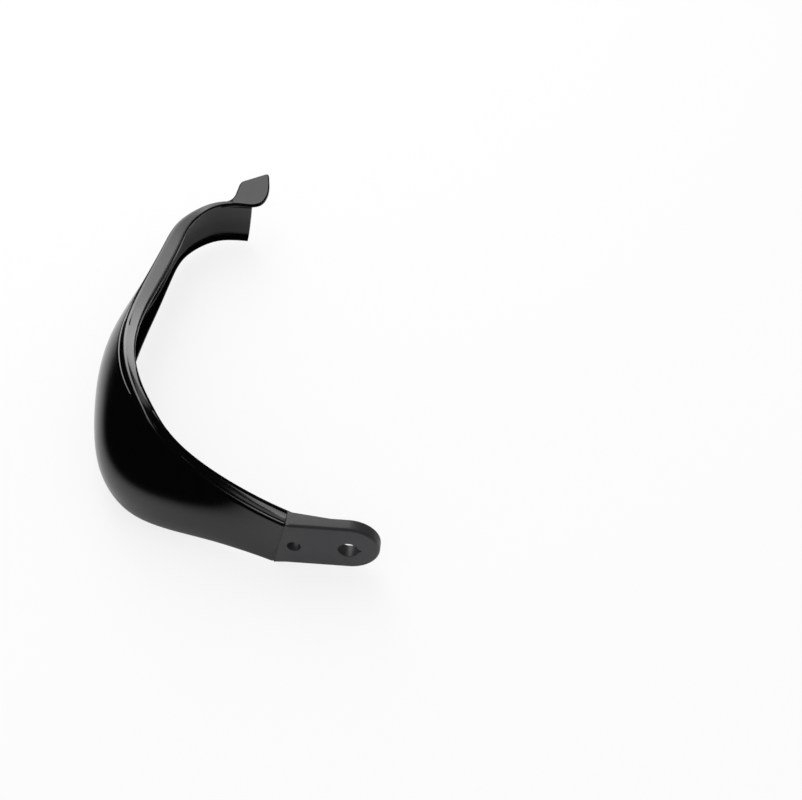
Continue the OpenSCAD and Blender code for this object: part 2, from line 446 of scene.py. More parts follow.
class Section:
    """Closed outline of the channel at one station: q outwards and z up.

    Its corners are a and b on the strip, m where the wall's crown pulls, c at the foot and d on the lip.
    The dark step's upper corner lies NEAR_SHARE of its width inside the strip's edge. NEAR_R and FAR_R
    round the step's two corners, and the wall starts WALL_GAP below it. A rounding takes SIDE_SHARE of a
    flat side at the most, and the hollow FOOT_SHARE of the lip's inside.
    """

    NEAR_SHARE = 0.35
    NEAR_R = 1.2
    FAR_R = 0.3
    WALL_GAP = 0.4
    SIDE_SHARE = 0.4
    FOOT_SHARE = 0.8

    def __init__(self, st: Station, s: Sizes, pitch: Pitch) -> None:
        """Place the corners of the section.

        Args:
            st: The station.
            s: Driving sizes.
            pitch: Numbers of points.
        """
        self.pitch = pitch
        self.s = s
        self.foot = st.foot
        self.chamfer = min(max(st.chamfer, 0.0), 1.0)
        self.taper = min(max(st.taper, 0.0), 1.0)
        self.dish = st.dish
        self.a = np.array([-st.lean - st.strip, st.top - st.fall])
        self.b = np.array([-st.lean, st.top])
        self.c = np.array([0.0, st.bottom])
        lip = max(st.lip, st.foot + s.lip_run, s.wall + 2 * s.lip_run) + self.taper * s.lip_kick
        self.d = np.array([-lip, st.bottom])
        self.m = (self.b + self.c) / 2 + np.array([st.crown, 0.0])

    def outline(self) -> np.ndarray:
        """Draw the outer skin from the strip down to the lip, and the inner skin back again.

        Returns:
            The points, equally many at each station.
        """
        w, r, p = self.s.wall, self.s.rim_r, self.pitch
        a, b, m, c, d = self.a, self.b, self.m, self.c, self.d
        in_a = a - w * left(unit(b - a))
        in_b = shifted(a, b, m, -w)
        in_m = shifted(b, m, c, -w)
        in_c = shifted(m, c, d, -w)
        lip_t = (1 - self.taper) * w + self.taper * self.s.lip_edge
        in_d = d - lip_t * left(unit(d - c))
        in_foot = max(self.foot - w, self.s.inner_r)
        in_foot = min(in_foot, self.FOOT_SHARE * float(np.linalg.norm(in_d - in_c)))
        in_foot += self.taper * (self.s.hollow_r - in_foot)
        parts = [
            round_corner(in_a, a, b, r, p.rim),
            self._sag(self._flat(a, b, r, self.s.edge_r), a, b),
            self._edge(a, b, m),
            self._wall(b, m, c, self._wall_start(), self.foot),
            round_corner(m, c, d, self.foot, p.foot),
            round_corner(c, d, in_d, r, p.rim),
            round_corner(d, in_d, in_c, r, p.rim),
            round_corner(in_d, in_c, in_m, in_foot, p.rim),
            self._wall(in_c, in_m, in_b, in_foot, self.s.inner_r),
            round_corner(in_m, in_b, in_a, self.s.inner_r, p.rim),
            self._flat(in_b, in_a, self.s.inner_r, r),
            round_corner(in_b, in_a, a, r, p.rim),
        ]
        return np.array([q for part in parts for q in part])

    def _edge(self, a: Point, b: Point, m: Point) -> list[Point]:
        """The strip's outer edge at b, from a round edge to a steep step onto a narrow ledge.

        Args:
            a: The strip's inner edge.
            b: Its outer edge.
            m: Where the wall's crown pulls.

        Returns:
            The points of the edge.
        """
        n = self.pitch.edge
        plain = round_corner(a, b, m, self.s.edge_r, n)
        near = b + self.NEAR_SHARE * self.s.chamfer_w * unit(a - b)
        far = b + self.s.chamfer_w * unit(m - b)
        ledge = far + self.s.chamfer_ledge * unit(a - b)
        half = n // 2
        step = round_corner(a, near, ledge, self.NEAR_R, half) + [ledge]
        step += round_corner(ledge, far, m, self.FAR_R, half)
        return [(1 - self.chamfer) * p + self.chamfer * q for p, q in zip(plain, step)]

    def _sag(self, points: list[Point], a: Point, b: Point) -> list[Point]:
        """The strip's points between a and b, let down by the dish in the middle.

        Args:
            points: The points.
            a: The strip's inner edge.
            b: Its outer edge.

        Returns:
            The lowered points.
        """
        width = float(np.linalg.norm(b - a))
        shares = [float(np.linalg.norm(p - a)) / width for p in points]
        return [p - np.array([0.0, self.dish * 4 * t * (1 - t)]) for p, t in zip(points, shares)]

    def _flat(self, a: Point, b: Point, at_a: float, at_b: float) -> list[Point]:
        """Points on a straight side, between the roundings at its two ends.

        Args:
            a: Where the side starts.
            b: Where it ends.
            at_a: How much of it the rounding at a takes.
            at_b: How much of it the rounding at b takes.

        Returns:
            The points.
        """
        most = self.SIDE_SHARE * np.linalg.norm(b - a)
        start = a + min(at_a, most) * unit(b - a)
        end = b + min(at_b, most) * unit(a - b)
        return between(start, end, self.pitch.flat)

    def _wall_start(self) -> float:
        """How far below the strip's edge the wall starts."""
        stepped = self.s.chamfer_w + self.WALL_GAP
        return (1 - self.chamfer) * self.s.edge_r + self.chamfer * stepped

    def _wall(self, b: Point, m: Point, c: Point, at_b: float, at_c: float) -> list[Point]:
        """Points of the crowned wall, between the roundings at its two ends."""
        shares = [k / (self.pitch.wall + 1) for k in range(1, self.pitch.wall + 1)]
        return bend(b + at_b * unit(m - b), m, c + at_c * unit(m - c), shares)


class NodeCanvas:
    """Places nodes in a tree, so that a formula in Python becomes nodes."""

    def __init__(self, tree: bpy.types.NodeTree) -> None:
        """Draw in the tree."""
        self.tree = tree

    def node(self, kind: str, inputs: dict[str | int, object], **settings: object) -> bpy.types.Node:
        """Add a node, set its settings, and then join or set its inputs.

        Args:
            kind: The node's type.
            inputs: Sockets or values, by input name or number.
            settings: Properties of the node.

        Returns:
            The new node.
        """
        made = self.tree.nodes.new(kind)
        for key, value in settings.items():
            setattr(made, key, value)
        self.fill(made, inputs)
        return made

    def fill(self, node: bpy.types.Node, inputs: dict[str | int, object]) -> None:
        """Join or set the inputs of a node.

        Args:
            node: The node.
            inputs: Sockets or values, by input name or number.
        """
        for key, value in inputs.items():
            if isinstance(value, Socket):
                self.tree.links.new(value, node.inputs[key])
            else:
                node.inputs[key].default_value = value

    def calc(self, operation: str, *values: object) -> Socket:
        """The result of one Math node on the values."""
        return self.node("ShaderNodeMath", dict(enumerate(values)), operation=operation).outputs[0]

    def vector(self, operation: str, *values: object) -> Socket:
        """The vector that one Vector Math node makes of the values."""
        return self.node("ShaderNodeVectorMath", dict(enumerate(values)), operation=operation).outputs[0]

    def ramp(
        self,
        value: Socket,
        ends: tuple[float, float] = (0.0, 1.0),
        levels: tuple[float, float] = (0.0, 1.0),
        curve: str = "LINEAR",
    ) -> Socket:
        """A value turned into a level.

        Args:
            value: What is turned.
            ends: The values at which the levels are reached.
            levels: The level at and before the first end, and at and past the second.
            curve: Kind of change between the two.

        Returns:
            The level.
        """
        inputs = dict(zip(("From Min", "From Max", "To Min", "To Max"), (*ends, *levels)))
        made = self.node("ShaderNodeMapRange", {"Value": value, **inputs}, interpolation_type=curve)
        return made.outputs["Result"]


class GeometryCanvas(NodeCanvas):
    """A tree of geometry nodes with named inputs."""

    def __init__(self, name: str) -> None:
        """Start an empty tree with a geometry input and output."""
        super().__init__(bpy.data.node_groups.new(name, "GeometryNodeTree"))
        for way in ("INPUT", "OUTPUT"):
            self.tree.interface.new_socket("Geometry", in_out=way, socket_type="NodeSocketGeometry")
        self.start = self.tree.nodes.new("NodeGroupInput")
        self.identifiers: dict[str, str] = {}

    def size(self, name: str, kind: str) -> Socket:
        """Add a named input and return its socket inside the tree.

        Args:
            name: The input's name.
            kind: Type of its socket.

        Returns:
            The socket.
        """
        made = self.tree.interface.new_socket(name, in_out="INPUT", socket_type=kind)
        self.identifiers[name] = made.identifier
        return self.start.outputs[made.identifier]

    def finish(self, geometry: Socket, material: bpy.types.Material) -> None:
        """End the tree in Realize Instances and Set Material.

        Args:
            geometry: What the tree makes.
            material: Its material.
        """
        real = self.node("GeometryNodeRealizeInstances", {"Geometry": geometry})
        painted = self.node(
            "GeometryNodeSetMaterial", {"Geometry": real.outputs[0], "Material": material}
        )
        end = self.tree.nodes.new("NodeGroupOutput")
        self.tree.links.new(painted.outputs[0], end.inputs[0])


class SmoothLoft:
    """Geometry nodes that draw a smooth skin over a stack of equal outlines."""

    WELD = 1e-6

    def __init__(self, material: bpy.types.Material) -> None:
        """Build the tree, whose skin is cubic along the stack and closed round each outline.

        The skin starts as a grid with a row for each ring. A point's row and column come from its
        number, and half a step is added first, so that the division never falls short of a row.

        Args:
            material: The finish that the skin gets.
        """
        canvas = GeometryCanvas("smooth_loft")
        self.canvas = canvas
        calc = canvas.calc
        outlines = canvas.size("Outlines", "NodeSocketInt")
        points = canvas.size("Points", "NodeSocketInt")
        rings = canvas.size("Rings", "NodeSocketInt")
        weld = canvas.size("Weld", "NodeSocketFloat")
        columns = calc("ADD", points, 1.0)
        grid = canvas.node("GeometryNodeMeshGrid", {"Vertices X": rings, "Vertices Y": columns})
        index = canvas.node("GeometryNodeInputIndex", {}).outputs[0]
        row = calc("FLOOR", calc("DIVIDE", calc("ADD", index, 0.5), columns))
        column = calc("SUBTRACT", index, calc("MULTIPLY", row, columns))
        column = calc("MODULO", column, points)
        spans = calc("SUBTRACT", outlines, 3.0)
        place = calc("MULTIPLY", row, calc("DIVIDE", spans, calc("SUBTRACT", rings, 1.0)))
        first = calc("MINIMUM", calc("FLOOR", place), calc("SUBTRACT", spans, 1.0))
        where = self._blend(first, column, points, calc("SUBTRACT", place, first))
        moved = canvas.node(
            "GeometryNodeSetPosition", {"Geometry": grid.outputs["Mesh"], "Position": where}
        )
        closed = canvas.node(
            "GeometryNodeMergeByDistance", {"Geometry": moved.outputs[0], "Distance": weld}
        )
        canvas.finish(closed.outputs[0], material)

    def _blend(self, first: Socket, column: Socket, points: Socket, t: Socket) -> Socket:
        """Sum of four neighbouring outlines' points by their cubic weights.

        Args:
            first: Number of the first of the four outlines.
            column: Number of the point in its outline.
            points: Number of points in an outline.
            t: Share of the way from the second outline to the third.

        Returns:
            The place of the skin's point.
        """
        canvas, calc = self.canvas, self.canvas.calc
        square = calc("MULTIPLY", t, t)
        cube = calc("MULTIPLY", square, t)
        before = calc("DIVIDE", calc("POWER", calc("SUBTRACT", 1.0, t), 3.0), 6.0)
        near = calc("ADD", calc("SUBTRACT", calc("MULTIPLY", cube, 0.5), square), 2 / 3)
        beyond = calc("DIVIDE", cube, 6.0)
        far = calc("SUBTRACT", 1.0, calc("ADD", calc("ADD", before, near), beyond))
        position = canvas.node("GeometryNodeInputPosition", {}).outputs[0]
        total: object = (0.0, 0.0, 0.0)
        for k, weight in enumerate((before, near, far, beyond)):
            number = calc("ADD", calc("MULTIPLY", calc("ADD", first, float(k)), points), column)
            sample = canvas.node(
                "GeometryNodeSampleIndex",
                {"Geometry": canvas.start.outputs[0], "Value": position, "Index": number},
                data_type="FLOAT_VECTOR",
            )
            part = canvas.node(
                "ShaderNodeVectorMath", {0: sample.outputs["Value"], "Scale": weight}, operation="SCALE"
            )
            total = canvas.vector("ADD", total, part.outputs[0])
        return total

    def skin(self, name: str, outlines: np.ndarray, rings: int) -> bpy.types.Mesh:
        """Loft a skin over outlines, an array of outline, point and coordinate.

        Args:
            name: Name of the mesh.
            outlines: The stack, one more at each end than the skin reaches.
            rings: Number of rings in the skin.

        Returns:
            An open tube, with no caps.
        """
        count, points, _ = outlines.shape
        source = bpy.data.meshes.new(name + "_outlines")
        source.from_pydata([tuple(p) for p in outlines.reshape(-1, 3)], [], [])
        holder = bpy.data.objects.new(name + "_outlines", source)
        bpy.context.scene.collection.objects.link(holder)
        modifier = holder.modifiers.new("loft", "NODES")
        modifier.node_group = self.canvas.tree
        values = {"Outlines": count, "Points": points, "Rings": rings, "Weld": self.WELD}
        for key, value in values.items():
            modifier[self.canvas.identifiers[key]] = value
        made = evaluated_mesh(holder, name)
        bpy.data.objects.remove(holder)
        return made


@dataclass
class Channel:
    """The crowned front shell and the arm, an open channel that faces the hand.

    Its first ring is carried on by hidden_run into the tab, drawn in to the share hidden_thin of its
    thickness and hidden_low of its height, so that the tab's skin covers it.
    """

    sizes: Sizes
    outlines: int = 92
    rings: int = 300
    hidden_run: float = 3.0
    hidden_thin: float = 0.45
    hidden_low: float = 0.88

    def build(self, loft: SmoothLoft) -> bpy.types.Mesh:
        """Loft the channel and cap its two ends.

        Args:
            loft: The tree that draws the skin.

        Returns:
            A mesh in metres.
        """
        spline = Spline(self.sizes)
        places = [spline.last * k / self.outlines for k in range(self.outlines + 1)]
        stack = [self.ring(spline.at(u)) for u in places]
        stack.insert(0, self._into_tab(stack[0]))
        stack.insert(0, 2 * stack[0] - stack[1])
        stack.append(2 * stack[-1] - stack[-2])
        mesh = loft.skin("channel", np.array(stack) * MM, self.rings)
        close_tube(mesh)
        return mesh

    def ring(self, st: Station) -> np.ndarray:
        """The section of station st, set up in space.

        Args:
            st: The station.

        Returns:
            The points, in millimetres.
        """
        outline = Section(st, self.sizes, Pitch()).outline()
        turn = math.radians(st.facing)
        out = np.array([-math.sin(turn), -math.cos(turn)])
        along = np.array([-math.cos(turn), math.sin(turn)])
        back = -st.rake * (outline[:, 1] - st.bottom) / (st.top - st.bottom)
        flat = np.array([st.x, st.y]) + np.outer(outline[:, 0], out) + np.outer(back, along)
        return np.column_stack([flat, outline[:, 1]])

    def _into_tab(self, ring: np.ndarray) -> np.ndarray:
        """The first ring, carried back into the tab and drawn in a little.

        Args:
            ring: The points of the first ring.

        Returns:
            The moved points.
        """
        middle = -self.sizes.tab_t / 2
        return np.column_stack([
            ring[:, 0] + self.hidden_run,
            middle + self.hidden_thin * (ring[:, 1] - middle),
            self.hidden_low * ring[:, 2],
        ])


@dataclass
class Tab:
    """Flat tab with a round free end, a slanted foot and its two holes.

    burr_r rounds the holes' rims, notch_soft is how many degrees the notch's corners are softened
    over, and notch_pull the share of its sides that their roundings take. The whole numbers count
    steps round a rim, and points along each stretch of the outlines.
    """

    sizes: Sizes
    bar_hole_r: float
    screw_hole_r: float
    hole_gap: float
    burr_r: float = 0.3
    notch_soft: float = 9.0
    notch_pull: float = 0.4
    rim_steps: int = 9
    end_points: int = 96
    bar_points: int = 72
    screw_points: int = 64
    knee_points: int = 3
    side_points: int = 8
    crease_points: int = 10
    corner_points: int = 5
    notch_points: int = 7

    def outer(self) -> np.ndarray:
        """Outline of the tab, round at its free end, with soft corners at the foot.

        Returns:
            The points, as x and z.
        """
        s = self.sizes
        half, z = s.tab_h / 2, s.tab_rise
        top = np.array([-s.crease_x + s.crease_slant, z + half])
        foot = np.array([-s.crease_x, z - half])
        near_top = np.array([0.0, z + half])
        near_foot = np.array([0.0, z - half])
        knee_top = np.array([-s.knee_x, z + half])
        knee_foot = np.array([-s.knee_x, z - half])
        loop = circle(0.0, z, half, -90, 90, self.end_points)
        loop += between(near_top, knee_top, self.knee_points) + [knee_top]
        loop += between(knee_top, top, self.side_points)
        loop += round_corner(near_top, top, foot, s.corner_round, self.corner_points)
        loop += between(top, foot, self.crease_points)[1:-1]
        loop += round_corner(top, foot, near_foot, s.corner_round, self.corner_points)
        loop += between(foot, knee_foot, self.side_points)[1:] + [knee_foot]
        loop += between(knee_foot, near_foot, self.knee_points)
        return np.array(loop)

    def bar_hole(self) -> np.ndarray:
        """Outline of the bar-end hole, with the small notch in its rim.

        Returns:
            The points, as x and z.
        """
        s = self.sizes
        r = self.bar_hole_r
        half = math.degrees(math.asin(s.notch_w / 2 / r))
        soft = half + self.notch_soft
        loop = circle(0.0, 0.0, r, soft, 360 - soft, self.bar_points)
        top, foot = (circle(0.0, 0.0, r, k * half, k * half, 1)[0] for k in (1, -1))
        tip = np.array([r + s.notch_depth, 0.0])
        reach = self.notch_pull * float(np.linalg.norm(tip - top))
        loop += round_corner(loop[-1], foot, tip, reach, self.corner_points)[1:]
        loop += round_corner(foot, tip, top, reach, self.notch_points)
        loop += round_corner(tip, top, loop[0], reach, self.corner_points)[:-1]
        return np.array(loop)

    def screw_hole(self) -> np.ndarray:
        """Outline of the screw hole."""
        return np.array(circle(-self.hole_gap, 0.0, self.screw_hole_r, 0, 360, self.screw_points))

    def build(self) -> bpy.types.Mesh:
        """Draw the rim and the holes' walls, and then the two faces.

        Returns:
            A closed mesh in metres.
        """
        work = bmesh.new()
        outer = self.outer()
        rims = [self._walls(work, outer, self._rim_radii(outer), 1.0)]
        for hole in (self.bar_hole(), self.screw_hole()):
            rims.append(self._walls(work, hole, np.full(len(hole), self.burr_r), -1.0))
        for side in (0, 1):
            self._face(work, [r[side] for r in rims])
        return finished_mesh(work, "tab")

    def _rim_radii(self, loop: np.ndarray) -> np.ndarray:
        """Radius of the rounding at each point of the outline, small along the crisp crease.

        Args:
            loop: The outline.

        Returns:
            One radius for each point.
        """
        s = self.sizes
        foot = np.array([-s.crease_x, s.tab_rise - s.tab_h / 2])
        along = unit(np.array([s.crease_slant, s.tab_h]))
        clear = (loop - foot) @ np.array([along[1], -along[0]])
        share = eased(np.clip(clear / s.crease_fade, 0, 1))
        return s.crease_round + (s.tab_round - s.crease_round) * share

    def _walls(
        self, work: bmesh.types.BMesh, loop: np.ndarray, r: np.ndarray, inward: float
    ) -> tuple[Verts, Verts]:
        """Draw the side of the tab along a loop, rounded by r where it meets both faces.

        Args:
            work: The mesh in the making.
            loop: The outline, as x and z.
            r: Radius of the rounding at each point.
            inward: 1 for the outside of the tab, and -1 for a hole.

        Returns:
            The rings of points on the outer and on the inner face.
        """
        t = self.sizes.tab_t
        turns = [math.radians(90 * k / self.rim_steps) for k in range(self.rim_steps + 1)]
        back = self.sizes.back_slope * np.maximum(-self.sizes.knee_x - loop[:, 0], 0)
        near = [(r * (1 - math.sin(a)), -t + r * (1 - math.cos(a))) for a in turns]
        far = [(r * (1 - math.sin(a)), back - r * (1 - math.cos(a))) for a in reversed(turns)]
        rows = []
        for depth, ys in near + far:
            flat = inset(loop, inward * depth)
            rows.append([work.verts.new((p[0] * MM, y * MM, p[1] * MM)) for p, y in zip(flat, ys)])
        for one, two in zip(rows, rows[1:]):
            join_rows(work, one, two)
        return rows[0], rows[-1]

    def _knee_edge(self, ring: Verts) -> tuple[int, int]:
        """The two points of a ring between which the tab starts to thicken.

        Args:
            ring: The ring's points.

        Returns:
            Their numbers in the ring.
        """
        away = [abs(v.co.x + self.sizes.knee_x * MM) for v in ring]
        one, two = sorted(range(len(ring)), key=away.__getitem__)[:2]
        return one, two

    def _face(self, work: bmesh.types.BMesh, rings: Sequence[Verts]) -> None:
        """Fill the face between the outer ring and the rings round the holes.

        Args:
            work: The mesh in the making.
            rings: The outer ring, and then one for each hole.
        """
        verts = [v for ring in rings for v in ring]
        flat = [Vector((v.co.x, v.co.z)) for v in verts]
        edges, start = [], 0
        for ring in rings:
            n = len(ring)
            edges += [(start + k, start + (k + 1) % n) for k in range(n)]
            start += n
        edges.append(self._knee_edge(rings[0]))
        points, _, faces, origins, *_ = delaunay_2d_cdt(flat, edges, [], 1, 1e-9)
        depth = verts[0].co.y
        known = [
            verts[o[0]] if o else work.verts.new((p.x, depth, p.y)) for p, o in zip(points, origins)
        ]
        holes = [[(v.co.x, v.co.z) for v in ring] for ring in rings[1:]]
        for f in faces:
            middle = np.mean([points[k] for k in f], axis=0)
            if not any(inside(middle, hole) for hole in holes):
                work.faces.new([known[k] for k in f])


@dataclass
class Ear:
    """The ear at the tip, a plate that grows out of the strip and rises outwards.

    plan lists the corners from the end of the channel, each as x, y and how far its rounding
    reaches, and spine the line that its two sides shrink onto. soft is how gently the rise sets in.
    From root_at to free_at along x the plate comes up from sunk in the strip to proud of it.
    """

    sizes: Sizes
    plan: tuple[tuple[float, float, float], ...] = (
        (-19.14, -8.1, 1.2),
        (-12.84, -6.6, 4.0),
        (-6.14, -5.5, 3.0),
        (-1.14, -5.7, 3.0),
        (5.86, -6.1, 3.0),
        (11.16, -3.8, 4.0),
        (13.96, 3.5, 5.0),
        (12.16, 14.9, 2.4),
        (-3.94, 8.7, 2.4),
        (-6.84, -2.5, 4.0),
        (-13.94, -4.3, 3.0),
        (-20.04, -5.7, 1.2),
    )
    spine: tuple[tuple[float, float], tuple[float, float]] = ((-10.14, -4.6), (5.36, 4.0))
    corner_points: int = 10
    outline_points: int = 220
    steps: int = 5
    fill_steps: int = 14
    near_run: float = 2.5
    near_steps: int = 60
    slope: float = 20.0
    rim_r: float = 0.8
    soft: float = 1.6
    sunk: float = 0.4
    proud: float = 0.04
    root_at: float = -12.64
    free_at: float = -5.64

    def __post_init__(self) -> None:
        """List the stations near the tip, whose strip the ear carries on."""
        spline = Spline(self.sizes)
        places = np.linspace(spline.last - self.near_run, spline.last, self.near_steps)
        self.near = [spline.at(u) for u in places]
        self.tip = np.array([self.near[-1].x, self.near[-1].y])

    def outline(self) -> np.ndarray:
        """The plan as an even closed loop, with round corners.

        Returns:
            The points, as x and y.
        """
        raw = [(self.tip + np.array(c[:2]), c[2]) for c in self.plan]
        loop: list[Point] = []
        for k, (at, r) in enumerate(raw):
            after = raw[(k + 1) % len(raw)][0]
            loop += round_corner(raw[k - 1][0], at, after, r, self.corner_points)
        points = np.array(loop + [loop[0]])
        lengths = np.r_[0, np.cumsum(np.linalg.norm(np.diff(points, axis=0), axis=1))]
        even = np.linspace(0, lengths[-1], self.outline_points, endpoint=False)
        return np.column_stack([np.interp(even, lengths, points[:, k]) for k in (0, 1)])

    def height(self, flat: np.ndarray) -> np.ndarray:
        """Height of the ear's middle surface: the strip carried on, and then rising.

        Args:
            flat: Points of the plan.

        Returns:
            One height for each.
        """
        places = np.array([(st.x, st.y) for st in self.near])
        gaps = np.linalg.norm(flat[:, None, :] - places[None, :, :], axis=2)
        z = np.empty(len(flat))
        for k, i in enumerate(np.argmin(gaps, axis=1)):
            st = self.near[i]
            turn = math.radians(st.facing)
            out = np.array([-math.sin(turn), -math.cos(turn)])
            beyond = (flat[k] - places[i]) @ out + st.lean
            grade = st.fall / st.strip
            rise = (math.tan(math.radians(self.slope)) - grade) / 2
            gentle = beyond + math.hypot(beyond, self.soft) - self.soft / 2
            z[k] = st.top + grade * beyond + rise * gentle
        run = (flat[:, 0] - self.tip[0] - self.root_at) / (self.free_at - self.root_at)
        t = eased(np.clip(run, 0, 1))
        return z - self.sizes.ear_t / 2 + self.proud * t - self.sunk * (1 - t)

    def build(self) -> bpy.types.Mesh:
        """Draw the round rim from below to above, and then cover both sides.

        Returns:
            A mesh in metres, whose two sides meet on the spine without sharing points there.
        """
        loop = self.outline()
        r = self.rim_r
        side_h = self.sizes.ear_t / 2 - r
        turns = [math.radians(90 * k / self.steps) for k in range(self.steps + 1)]
        rim = [(-side_h - r * math.sin(a), r * (1 - math.cos(a))) for a in reversed(turns)]
        rim += [(side_h + r * math.sin(a), r * (1 - math.cos(a))) for a in turns]
        work = bmesh.new()
        rows = [self._row(work, inset(loop, depth), lift) for lift, depth in rim]
        for one, two in zip(rows, rows[1:]):
            join_rows(work, one, two)
        inner = inset(loop, r)
        for side, row in ((-1, rows[0]), (1, rows[-1])):
            self._cover(work, row, inner, side * (side_h + r))
        bmesh.ops.remove_doubles(work, verts=work.verts, dist=WELD)
        return finished_mesh(work, "ear")

    def _row(self, work: bmesh.types.BMesh, flat: np.ndarray, lift: float) -> Verts:
        """A row of points over the plan, lifted off the middle surface."""
        z = self.height(flat) + lift
        return [work.verts.new(Vector((p[0], p[1], h)) * MM) for p, h in zip(flat, z)]

    def _cover(self, work: bmesh.types.BMesh, rim: Verts, loop: np.ndarray, lift: float) -> None:
        """Cover one side of the plate by rows that shrink onto its spine.

        Args:
            work: The mesh in the making.
            rim: The row of points at the side's rim.
            loop: The same row's places in the plan.
            lift: How far the side lies above the middle surface.
        """
        a, b = (self.tip + np.array(end) for end in self.spine)
        along = unit(b - a)
        shares = np.clip((loop - a) @ along, 0, np.linalg.norm(b - a))
        spine = a + np.outer(shares, along)
        last = rim
        for k in range(1, self.fill_steps + 1):
            row = self._row(work, loop + (spine - loop) * k / self.fill_steps, lift)
            join_rows(work, last, row)
            last = row


def new_paint(name: str) -> tuple[bpy.types.Material, NodeCanvas, bpy.types.Node]:
    """A new material, the canvas of its tree and its shader.

    Args:
        name: The material's name.

    Returns:
        The material, the canvas and the shader.
    """
    material = bpy.data.materials.new(name)
    material.use_nodes = True
    return material, NodeCanvas(material.node_tree), material.node_tree.nodes["Principled BSDF"]


@dataclass(frozen=True)
class MouldedBlack:
    """Black moulded plastic, glossy on the shell and satin on the tab.

    The change runs along the slanted crease, over crease_half metres on both sides of it. Noise has
    its cells given by the metre, and the depths of the ripples and of the grain are in metres.
    """

    sizes: Sizes
    name: str = "moulded_black"
    colour: tuple[float, float, float] = (0.0012, 0.0012, 0.0015)
    tab_colour: tuple[float, float, float] = (0.026, 0.025, 0.0275)
    ior: float = 1.52
    shell_roughness: float = 0.13
    tab_roughness: float = 0.42
    mottle: float = 0.05
    mottle_per_m: float = 90.0
    ripple: float = 0.06
    ripple_depth: float = 0.0006
    ripple_per_m: float = 60.0
    shell_grain: float = 0.04
    tab_grain: float = 0.35
    grain_depth: float = 0.00006
    grain_per_m: float = 2600.0
    crease_half: float = 0.0003

    def make(self) -> bpy.types.Material:
        """Build the material from noise on Object coordinates.

        Returns:
            The material.
        """
        material, canvas, shader = new_paint(self.name)
        where = canvas.node("ShaderNodeTexCoord", {}).outputs["Object"]
        tab = self._tab_share(canvas, where)
        rough = canvas.ramp(tab, levels=(self.shell_roughness, self.tab_roughness))
        mottle = self._noise(canvas, where, self.mottle_per_m, 3.0)
        tint = canvas.node(
            "ShaderNodeMix",
            {"Factor": tab, "A": (*self.colour, 1), "B": (*self.tab_colour, 1)},
            data_type="RGBA",
        )
        canvas.fill(shader, {
            "Base Color": tint.outputs["Result"],
            "Roughness": canvas.calc("MULTIPLY_ADD", mottle, self.mottle, rough),
            "IOR": self.ior,
            "Normal": self._texture(canvas, where, tab),
        })
        return material

    def _tab_share(self, canvas: NodeCanvas, where: Socket) -> Socket:
        """1 on the tab and 0 on the shell, changing along the slanted crease.

        Args:
            canvas: The material's tree.
            where: Object coordinates.

        Returns:
            The share.
        """
        s = self.sizes
        slant = s.crease_slant / s.tab_h
        level_x = (-s.crease_x - slant * (s.tab_rise - s.tab_h / 2)) * MM
        parts = canvas.node("ShaderNodeSeparateXYZ", {0: where})
        across = canvas.calc("MULTIPLY_ADD", parts.outputs["Z"], -slant, parts.outputs["X"])
        return canvas.ramp(across, (level_x - self.crease_half, level_x + self.crease_half))

    @staticmethod
    def _noise(canvas: NodeCanvas, where: Socket, per_m: float, detail: float) -> Socket:
        """Noise at so many cells a metre."""
        inputs = {"Vector": where, "Scale": per_m, "Detail": detail}
        return canvas.node("ShaderNodeTexNoise", inputs).outputs["Fac"]

    def _texture(self, canvas: NodeCanvas, where: Socket, tab: Socket) -> Socket:
        """Normal of slow ripples everywhere, and of a fine grain that is stronger on the tab.

        Args:
            canvas: The material's tree.
            where: Object coordinates.
            tab: 1 on the tab and 0 on the shell.

        Returns:
            The normal.
        """
        ripple = canvas.node("ShaderNodeBump", {
            "Strength": self.ripple,
            "Distance": self.ripple_depth,
            "Height": self._noise(canvas, where, self.ripple_per_m, 1.0),
        })
        grain = canvas.node("ShaderNodeBump", {
            "Strength": canvas.ramp(tab, levels=(self.shell_grain, self.tab_grain)),
            "Distance": self.grain_depth,
            "Height": self._noise(canvas, where, self.grain_per_m, 2.0),
            "Normal": ripple.outputs["Normal"],
        })
        return grain.outputs["Normal"]


